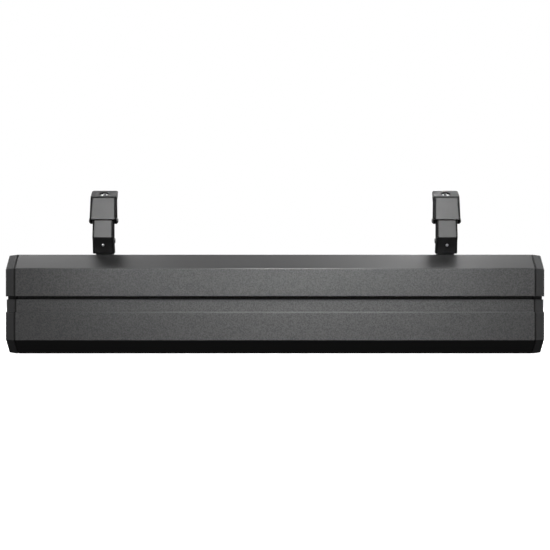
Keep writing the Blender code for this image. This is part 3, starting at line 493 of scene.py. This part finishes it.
def socket_trim(name, face, out, steel):
    """The collar round the mouth and the flange's two screws."""
    profile = [(MOUTH_RADIUS + 0.0013, 0), (MOUTH_RADIUS + 0.0012, 0.00025), (MOUTH_RADIUS + 0.0002, 0.00025),
               (MOUTH_RADIUS, 0.0001), (MOUTH_RADIUS, 0), (MOUTH_RADIUS + 0.0013, 0)]
    collar = lathe(name + "_collar", profile, face - out * 0.00035, out, 48)
    add_piece(name + "_collar", collar, steel)
    profile = [(0, -0.0007), (0.0009, -0.0006), (0.0009, -0.0001), (0.0010, 0), (0.0017, -0.00005),
               (0.0021, -0.0003), (0.0022, -0.0008), (0, -0.0008)]
    dy, dz = FLANGE_SCREW
    for index, corner in enumerate((Vector((0, -dy, dz)), Vector((0, dy, -dz)))):
        screw_name = f"{name}_flange_screw_{index + 1}"
        screw = lathe(screw_name, profile, face + corner, out, 36, HEXAGON_RINGS)
        add_piece(screw_name, screw, steel)


def socket_pins(name, back, out, brass):
    """Three round-ended pins about the socket's axis."""
    profile = [(0.0, 0.0095), (0.0007, 0.0094), (0.0011, 0.0088), (0.0011, 0), (0, 0)]
    for index in range(3):
        turn = math.radians(90 + 120 * index)
        foot = back + Vector((0, math.cos(turn), math.sin(turn))) * CONTACT_CIRCLE
        pin_name = f"{name}_pin_{index + 1}"
        add_piece(pin_name, lathe(pin_name, profile, foot, out, 20), brass)


def core_openings(kind):
    """The slots or holes of a socket's insulator."""
    if kind == "blades":
        flat, thick, corner = 0.0016, 0.0007, 0.0005
        sides = [round_box(math.cos(math.radians(a)) * BLADE_REACH, math.sin(math.radians(a)) * BLADE_REACH,
                           thick, flat, corner) for a in (0, 180)]
        return sides + [round_box(0, -BLADE_REACH, flat, thick, corner)]
    reach = CONTACT_CIRCLE * 0.9
    turns = [math.radians(90 + 120 * i) for i in range(3)]
    return [circle(math.cos(turn) * reach, math.sin(turn) * reach, 0.0012, 20) for turn in turns]


def sockets(materials):
    """Collars, flange screws, contacts, insulators and latches of the four sockets."""
    plastic, steel, brass = materials["plastic"], materials["fastener"], materials["contact"]
    for name, kind in SOCKETS.items():
        face, out = socket_front(name + "_socket")
        back = face - out * MOUTH_DEPTH
        socket_trim(name, face, out, steel)
        if kind == "pins":
            socket_pins(name, back, out, brass)
            continue
        outlines = [circle(0, 0, CORE_RADIUS, 40)] + core_openings(kind)
        core = plate(name + "_core", outlines, CORE_LENGTH, back, out, 0.0003)
        add_piece(name + "_core", core, plastic)
        lever = plate(name + "_latch", [round_box(0, LATCH_Z, 0.0030, 0.0013, 0.0006)], 0.0009,
                      face - out * 0.0009, out, 0.0002)
        add_piece(name + "_latch", lever, steel)


def icon_outline(word):
    """The generic sign on a key: a square, two triangles and a ring."""
    size = 0.0015
    if word == "mode":
        return [round_box(0, 0, size, size, 0.0003), round_box(0, 0, size * 0.6, size * 0.6, 0.0002)]
    if word == "enter":
        return [circle(0, 0, size, 28), circle(0, 0, size * 0.6, 28)]
    turn = 1 if word == "up" else -1
    return [[(-size, -size * 0.7 * turn), (size, -size * 0.7 * turn), (0, size * turn)][::turn]]


def keys(materials):
    """The signs on the four keys."""
    for word in ("mode", "up", "down", "enter"):
        node = f"menu_button_{word}"
        low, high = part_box(node)
        at = Vector((high.x, (low.y + high.y) / 2, (low.z + high.z) / 2))
        name = f"key_sign_{word}"
        sign = plate(name, icon_outline(word), 0.00012, at, (1, 0, 0))
        add_piece(name, sign, materials["sign"], body_of(node))


def display(materials):
    """A dark face with four unlit seven-bar figures behind the display window."""
    low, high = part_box("display_window")
    x, y, z = low.x - 0.0025, (low.y + high.y) / 2, (low.z + high.z) / 2
    face = plate("display_face", [round_box(0, 0, 0.0185, 0.0070, 0.0006)], 0.0004, (x, y, z), (1, 0, 0))
    add_piece("display_face", face, materials["display_face"])
    half, bar, pitch = 0.0021, 0.00042, 0.0078
    flat = [(-half, 0), (-half + bar, bar), (half - bar, bar),
            (half, 0), (half - bar, -bar), (-half + bar, -bar)]
    tall = [(v, u) for u, v in flat][::-1]
    for figure in range(4):
        shift = (figure - 1.5) * pitch
        bars = [[(u + shift, v + dz) for u, v in flat] for dz in (-2 * half, 0, 2 * half)]
        bars += [[(u + shift + du, v + dz) for u, v in tall] for du in (-half, half) for dz in (-half, half)]
        name = f"display_figure_{figure + 1}"
        mesh = plate(name, bars, 0.0001, (x + 0.0004, y, z), (1, 0, 0))
        add_piece(name, mesh, materials["figure"])


def light_pieces(materials):
    """A crowned lens over each led and the yellow light source on each board."""
    leds, gap, rise, reach = 4, 0.004, 0.0030, 0.0192
    turns = [math.radians(a) for a in range(10, 90, 10)]
    crown = [(reach, 0.00002)] + [(reach * math.cos(a), rise * math.sin(a)) for a in turns] + [(0, rise)]
    source = [(0, 0.00028), (0.0024, 0.00026), (0.0028, 0.00012), (0.0028, 0), (0, 0)]
    for board in (1, 2, 3):
        low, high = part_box(f"led_board_{board}")
        lens_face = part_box(f"lens_strip_{board}")[1].y
        pitch = (high.x - low.x + gap) / leds
        z = (low.z + high.z) / 2
        for index in range(leds):
            x = (low.x + high.x) / 2 + (index - (leds - 1) / 2) * pitch
            name = f"lens_crown_{board}_{index + 1}"
            add_piece(name, lathe(name, crown, (x, lens_face, z), (0, 1, 0), 48), materials["lens"])
            name = f"led_source_{board}_{index + 1}"
            mesh = lathe(name, source, (x, high.y, z), (0, 1, 0), 28)
            add_piece(name, mesh, materials["phosphor"])


def fuse_cap(materials):
    """The fuse holder's base, and its grip of shallow flutes with a coin slot."""
    node, plastic = "fuse_holder", materials["plastic"]
    low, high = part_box(node)
    out = Vector((-1, 0, 0))
    top = Vector((low.x, (low.y + high.y) / 2, (low.z + high.z) / 2))
    depth = high.x - low.x
    flange, body, grip = (high.y - low.y) / 2, 0.0065, 0.0052
    slot_depth, seat, step_down, edge = 0.0008, 0.0020, 0.0006, 0.0004
    profile = [(0, -slot_depth), (grip, -slot_depth), (grip, -seat + step_down),
               (flange - edge, -seat + step_down), (flange, -seat + 0.0002), (flange, -seat),
               (body, -seat), (body, -depth), (0, -depth)]
    base = add_piece("fuse_base", lathe("fuse_base", profile, top, out, 48), plastic)
    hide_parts(node)
    flutes, flute_depth, steps = 16, 0.00015, 96
    fluted = []
    for turn in (2 * math.pi * step / steps for step in range(steps)):
        reach = grip - flute_depth * (1 + math.cos(flutes * turn))
        fluted.append((reach * math.cos(turn), reach * math.sin(turn)))
    coin_slot = round_box(0, 0, 0.0036, 0.0006, 0.0005)
    disc = plate("fuse_grip", [fluted, coin_slot], slot_depth, top - out * slot_depth, out, 0.0001)
    add_piece("fuse_grip", disc, plastic)


def board_parts(materials):
    """Chips and small parts on the driver board's rear side."""
    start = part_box("driver_board")[0].x
    rear = -0.0120
    chips = [(0.022, 0.060, 0.005, 0.005), (0.050, 0.030, 0.004, 0.003), (0.080, 0.030, 0.004, 0.003),
             (0.115, 0.066, 0.007, 0.007), (0.115, 0.040, 0.005, 0.003)]
    for index, (x, z, half_x, half_z) in enumerate(chips):
        name = f"chip_{index + 1}"
        outline = round_box(0, 0, half_x, half_z, 0.0003)
        mesh = plate(name, [outline], 0.0016, (start + x, rear, z), (0, -1, 0), 0.0001)
        add_piece(name, mesh, materials["plastic"])
    outline = round_box(0, 0, 0.0010, 0.0006, 0.0001)
    columns, pitch = 5, 0.004
    for index in range(10):
        name = f"small_part_{index + 1}"
        x = start + 0.104 + pitch * (index % columns)
        z = 0.050 + pitch * (index // columns)
        mesh = plate(name, [outline], 0.0007, (x, rear, z), (0, -1, 0))
        add_piece(name, mesh, materials["contact"])


def supply_grille(materials):
    """A plate of round vent holes on the power supply's rear side."""
    low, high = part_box("power_supply")
    columns, rows, pitch, thickness = 16, 8, 0.0045, 0.0004
    holes = [circle((u - (columns - 1) / 2) * pitch, (v - (rows - 1) / 2) * pitch, 0.0015, 10)
             for u in range(columns) for v in range(rows)]
    outline = round_box(0, 0, 0.040, 0.020, 0.002)
    at = ((low.x + high.x) / 2, low.y - thickness, (low.z + high.z) / 2)
    grille = plate("supply_grille", [outline] + holes, thickness, at, (0, -1, 0))
    add_piece("supply_grille", grille, materials["zinc_case"])


# ---------------------------------------------------------------- stage
FACE_Z = 0.164              # the middle of the two plates of a bracket's face
ROOF_Z = 0.181
LIGHTS = (
    # name, place, aim, size, spread in degrees, power
    ("front_box", (0.0, -1.70, 0.85), (0, -0.05, 0.09), (1.20, 0.40), 180, 13.4),
    ("near_strip", (0.02, -0.50, 0.55), (0.02, -0.05, 0.16), (0.50, 0.05), 24, 0.15),
    ("near_box", (0.04, -0.40, 0.50), (0.04, -0.05, 0.15), (0.15, 0.05), 60, 0.38),
    ("bracket_card_left", (-BRACKET_X, -1.00, 0.40), (-BRACKET_X, -0.03, FACE_Z), (0.10, 0.20), 5, 0.006),
    ("roof_card_left", (-BRACKET_X, 0.40, 0.742), (-BRACKET_X, -0.018, ROOF_Z), (0.10, 0.10), 3, 0.008),
    ("roof_card_right", (BRACKET_X, 0.40, 0.742), (BRACKET_X, -0.018, ROOF_Z), (0.10, 0.10), 3, 0.008),
    ("back_1", (-0.44, 0.20, 0.76), (-0.28, -0.04, 0.1), (0.14, 0.14), 180, 1.2),
    ("back_2", (-0.27, 0.20, 0.76), (-0.27, -0.04, 0.1), (0.14, 0.14), 180, 0.75),
    ("back_3", (-0.06, 0.20, 0.76), (-0.06, -0.04, 0.1), (0.14, 0.14), 180, 0.40),
    ("back_4", (0.12, 0.20, 0.76), (0.12, -0.04, 0.1), (0.14, 0.14), 180, 0.55),
    ("back_5", (0.28, 0.20, 0.76), (0.28, -0.04, 0.1), (0.14, 0.14), 180, 1.5),
    ("back_6", (0.46, 0.20, 0.76), (0.28, -0.04, 0.1), (0.14, 0.14), 180, 0.8),
    ("floor_bounce", (0.0, -0.60, 0.01), (0, -0.05, 0.08), (1.60, 0.30), 180, 0.30),
    ("end_fill_left", (-1.60, 0.70, 0.60), (-0.3, 0, 0.06), (0.60, 0.60), 180, 10.0),
    ("end_fill_right", (1.60, 0.70, 0.60), (0.3, 0, 0.06), (0.60, 0.60), 180, 10.0),
    ("glass_fill", (0.0, 1.70, 0.70), (0, 0.05, 0.06), (1.20, 0.50), 180, 14.0),
)


def lights():
    """An area light for each row of the table, none of them seen by the camera."""
    for name, at, target, size, spread, power in LIGHTS:
        data = bpy.data.lights.new(name, "AREA")
        data.shape = "RECTANGLE"
        data.size, data.size_y = size
        data.energy = power
        data.spread = math.radians(spread)
        light = bpy.data.objects.new(name, data)
        light.location = at
        light.rotation_euler = (Vector(target) - Vector(at)).to_track_quat("-Z", "Y").to_euler()
        light.visible_camera = False
        bpy.context.scene.collection.objects.link(light)


def backdrop():
    """A glowing white floor that throws no light, and a world that only the camera sees as white."""
    mesh = bpy.data.meshes.new("floor")
    bm = bmesh.new()
    bmesh.ops.create_grid(bm, x_segments=1, y_segments=1, size=30)
    bm.to_mesh(mesh)
    bm.free()
    floor = bpy.data.objects.new("floor", mesh)
    bpy.context.scene.collection.objects.link(floor)
    finish = Finish("pale_floor", (0.9, 0.9, 0.9), 0.9)
    finish.set("Emission Color", (1, 1, 1, 1)).set("Emission Strength", 1.0)
    mesh.materials.append(finish.material)
    floor.visible_diffuse = False
    floor.visible_glossy = False
    world = bpy.data.worlds.new("studio")
    bpy.context.scene.world = world
    world.use_nodes = True
    tree = world.node_tree
    tree.nodes.clear()
    path = tree.nodes.new("ShaderNodeLightPath")
    white = tree.nodes.new("ShaderNodeBackground")
    dim = tree.nodes.new("ShaderNodeBackground")
    white.inputs["Color"].default_value = (1, 1, 1, 1)
    dim.inputs["Color"].default_value = (STUDIO_DIM, STUDIO_DIM, STUDIO_DIM, 1)
    mix = tree.nodes.new("ShaderNodeMixShader")
    output = tree.nodes.new("ShaderNodeOutputWorld")
    tree.links.new(path.outputs["Is Camera Ray"], mix.inputs["Fac"])
    tree.links.new(dim.outputs[0], mix.inputs[1])
    tree.links.new(white.outputs[0], mix.inputs[2])
    tree.links.new(mix.outputs[0], output.inputs["Surface"])
    bpy.context.scene.view_settings.view_transform = "Standard"


camera()
MATERIALS = make_materials()
finish_nodes(MATERIALS)
screws(MATERIALS)
sockets(MATERIALS)
keys(MATERIALS)
display(MATERIALS)
light_pieces(MATERIALS)
fuse_cap(MATERIALS)
board_parts(MATERIALS)
supply_grille(MATERIALS)
lights()
backdrop()
